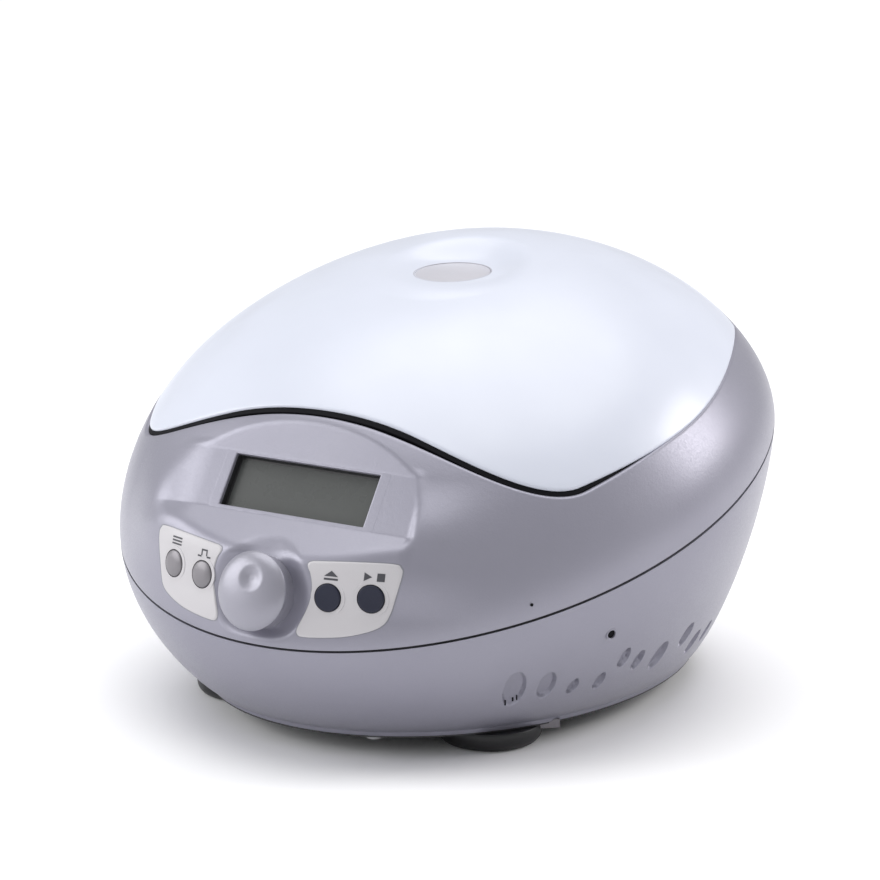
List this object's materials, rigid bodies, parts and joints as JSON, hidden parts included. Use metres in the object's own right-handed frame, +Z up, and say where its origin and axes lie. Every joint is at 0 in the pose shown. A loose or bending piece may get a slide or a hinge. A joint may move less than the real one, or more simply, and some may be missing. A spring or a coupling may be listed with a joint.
{
  "type": "laboratory centrifuge",
  "caption": "Small bench microcentrifuge with a tilting domed lid, round window, slanted display panel, control knob, push buttons and a spinning angle rotor.",
  "frame": {"origin": "on the bench, under the middle of the oval shell", "axes": "+X to the user's right, -Y the front with the display, +Z up"},
  "size_m": [0.245, 0.2621, 0.1671],
  "materials": {
    "housing": "satin metallic silver with a fine flake, over moulded plastic",
    "base": "satin metallic silver, a shade darker",
    "lid": "smooth, soft gloss",
    "liner": "satin",
    "gasket": "matt",
    "rubber": "matt",
    "feet": "soft sheen",
    "bottom_plate": "matt black powder coat",
    "screws": "zinc plated",
    "labels": "printed film",
    "buttons_grey": "domed, glossy",
    "buttons_dark": "flat, satin",
    "black_plastic": "moulded",
    "circuit_board": "solder mask",
    "display_glass": "clear, slightly grey",
    "display_back": "reflective LCD, unlit",
    "brushed_metal": "brushed",
    "knob": "satin metallic silver",
    "chamber": "spun stainless",
    "motor_metal": "turned",
    "plated_steel": "zinc plated",
    "cast_core": "laminated",
    "shaft_steel": "ground",
    "rotor": "dark anodised",
    "rotor_cover": "satin anodised",
    "rotor_nut": "moulded",
    "window": "clear",
    "window_ring": "satin",
    "spring_steel": "oiled",
    "solenoid": "taped coil",
    "brass": "plated",
    "components": "moulded",
    "rocker": "moulded"
  },
  "bodies": {
    "chassis": {"upper_housing": "housing", "base_shell": "base", "seam_gasket": "gasket", "bottom_plate": "bottom_plate", "plate_screws": "screws", "foot_front_left": "feet", "foot_front_right": "feet", "foot_rear_left": "feet", "foot_rear_right": "feet", "foot_screws": "screws", "label_panel_left": "labels", "label_panel_right": "labels", "button_switches": "black_plastic", "control_board": "circuit_board", "display_lens": "display_glass", "display_module": "display_back", "encoder": "brushed_metal", "chamber_bowl": "chamber", "chamber_gasket": "rubber", "shaft_boot": "rubber", "motor_can": "motor_metal", "motor_cap": "motor_metal", "motor_plate": "plated_steel", "motor_dampers": "rubber", "motor_posts": "plated_steel", "hinge_brackets": "plated_steel", "hinge_pins": "shaft_steel", "hinge_springs": "spring_steel", "latch_solenoid": "solenoid", "release_guide": "black_plastic", "main_board": "circuit_board", "board_standoffs": "brass", "board_components": "components", "power_inlet": "black_plastic", "inlet_pins": "brass", "switch_frame": "black_plastic"},
    "lid": {"lid_shell": "lid", "lid_liner": "liner", "lid_seal": "rubber", "window_pane": "window", "window_ring": "window_ring", "latch_hook": "plated_steel", "lid_bumpers": "rubber", "hinge_arms": "plated_steel"},
    "spindle": {"motor_core": "cast_core", "motor_shaft": "shaft_steel", "rotor": "rotor", "rotor_cover": "rotor_cover"},
    "nut": {"rotor_nut": "rotor_nut"},
    "control_knob": {"knob": "knob", "encoder_shaft": "brushed_metal"},
    "select": {"button_select": "buttons_grey"},
    "pulse": {"button_pulse": "buttons_grey"},
    "lid_button": {"button_lid": "buttons_dark"},
    "run": {"button_run": "buttons_dark"},
    "bolt": {"latch_bolt": "shaft_steel"},
    "release": {"release_plunger": "brushed_metal"},
    "drawer": {"fuse_drawer": "black_plastic"},
    "power_rocker": {"rocker": "rocker"}
  },
  "joints": [
    {"name": "lid_hinge", "type": "hinge", "parent": "chassis", "child": "lid", "pos_m": [0, 0.1025, 0.1465], "axis": [-1, 0, 0], "range_deg": [0, 75]},
    {"name": "rotor_spin", "type": "hinge", "parent": "chassis", "child": "spindle", "pos_m": [0, 0.0034, 0.08], "axis": [0, 0, 1], "continuous": true},
    {"name": "nut_turn", "type": "hinge", "parent": "spindle", "child": "nut", "pos_m": [0, 0.0034, 0.1], "axis": [0, 0, 1], "continuous": true},
    {"name": "knob_turn", "type": "hinge", "parent": "chassis", "child": "control_knob", "pos_m": [0, -0.129, 0.0647], "axis": [0, -0.9613, 0.2756], "continuous": true},
    {"name": "select_press", "type": "slide", "parent": "chassis", "child": "select", "axis": [0.2734, 0.9115, -0.3074], "range_m": [0, 0.0008], "stiffness_N_per_m": 300, "springref_m": -0.0004},
    {"name": "pulse_press", "type": "slide", "parent": "chassis", "child": "pulse", "axis": [0.1783, 0.9347, -0.3074], "range_m": [0, 0.0008], "stiffness_N_per_m": 300, "springref_m": -0.0004},
    {"name": "lid_button_press", "type": "slide", "parent": "chassis", "child": "lid_button", "axis": [-0.1783, 0.9347, -0.3074], "range_m": [0, 0.0008], "stiffness_N_per_m": 300, "springref_m": -0.0004},
    {"name": "run_press", "type": "slide", "parent": "chassis", "child": "run", "axis": [-0.2734, 0.9115, -0.3074], "range_m": [0, 0.0008], "stiffness_N_per_m": 300, "springref_m": -0.0004},
    {"name": "bolt_slide", "type": "slide", "parent": "chassis", "child": "bolt", "axis": [-1, 0, 0], "range_m": [0, 0.006]},
    {"name": "release_push", "type": "slide", "parent": "chassis", "child": "release", "axis": [-0.8294, 0.4997, 0.2498], "range_m": [0, 0.003], "stiffness_N_per_m": 150, "springref_m": -0.001},
    {"name": "fuse_pull", "type": "slide", "parent": "chassis", "child": "drawer", "axis": [0, 1, 0], "range_m": [0, 0.014]},
    {"name": "power_rock", "type": "hinge", "parent": "chassis", "child": "power_rocker", "pos_m": [0.024, 0.104, 0.04], "axis": [1, 0, 0], "range_deg": [0, 12]}
  ]
}
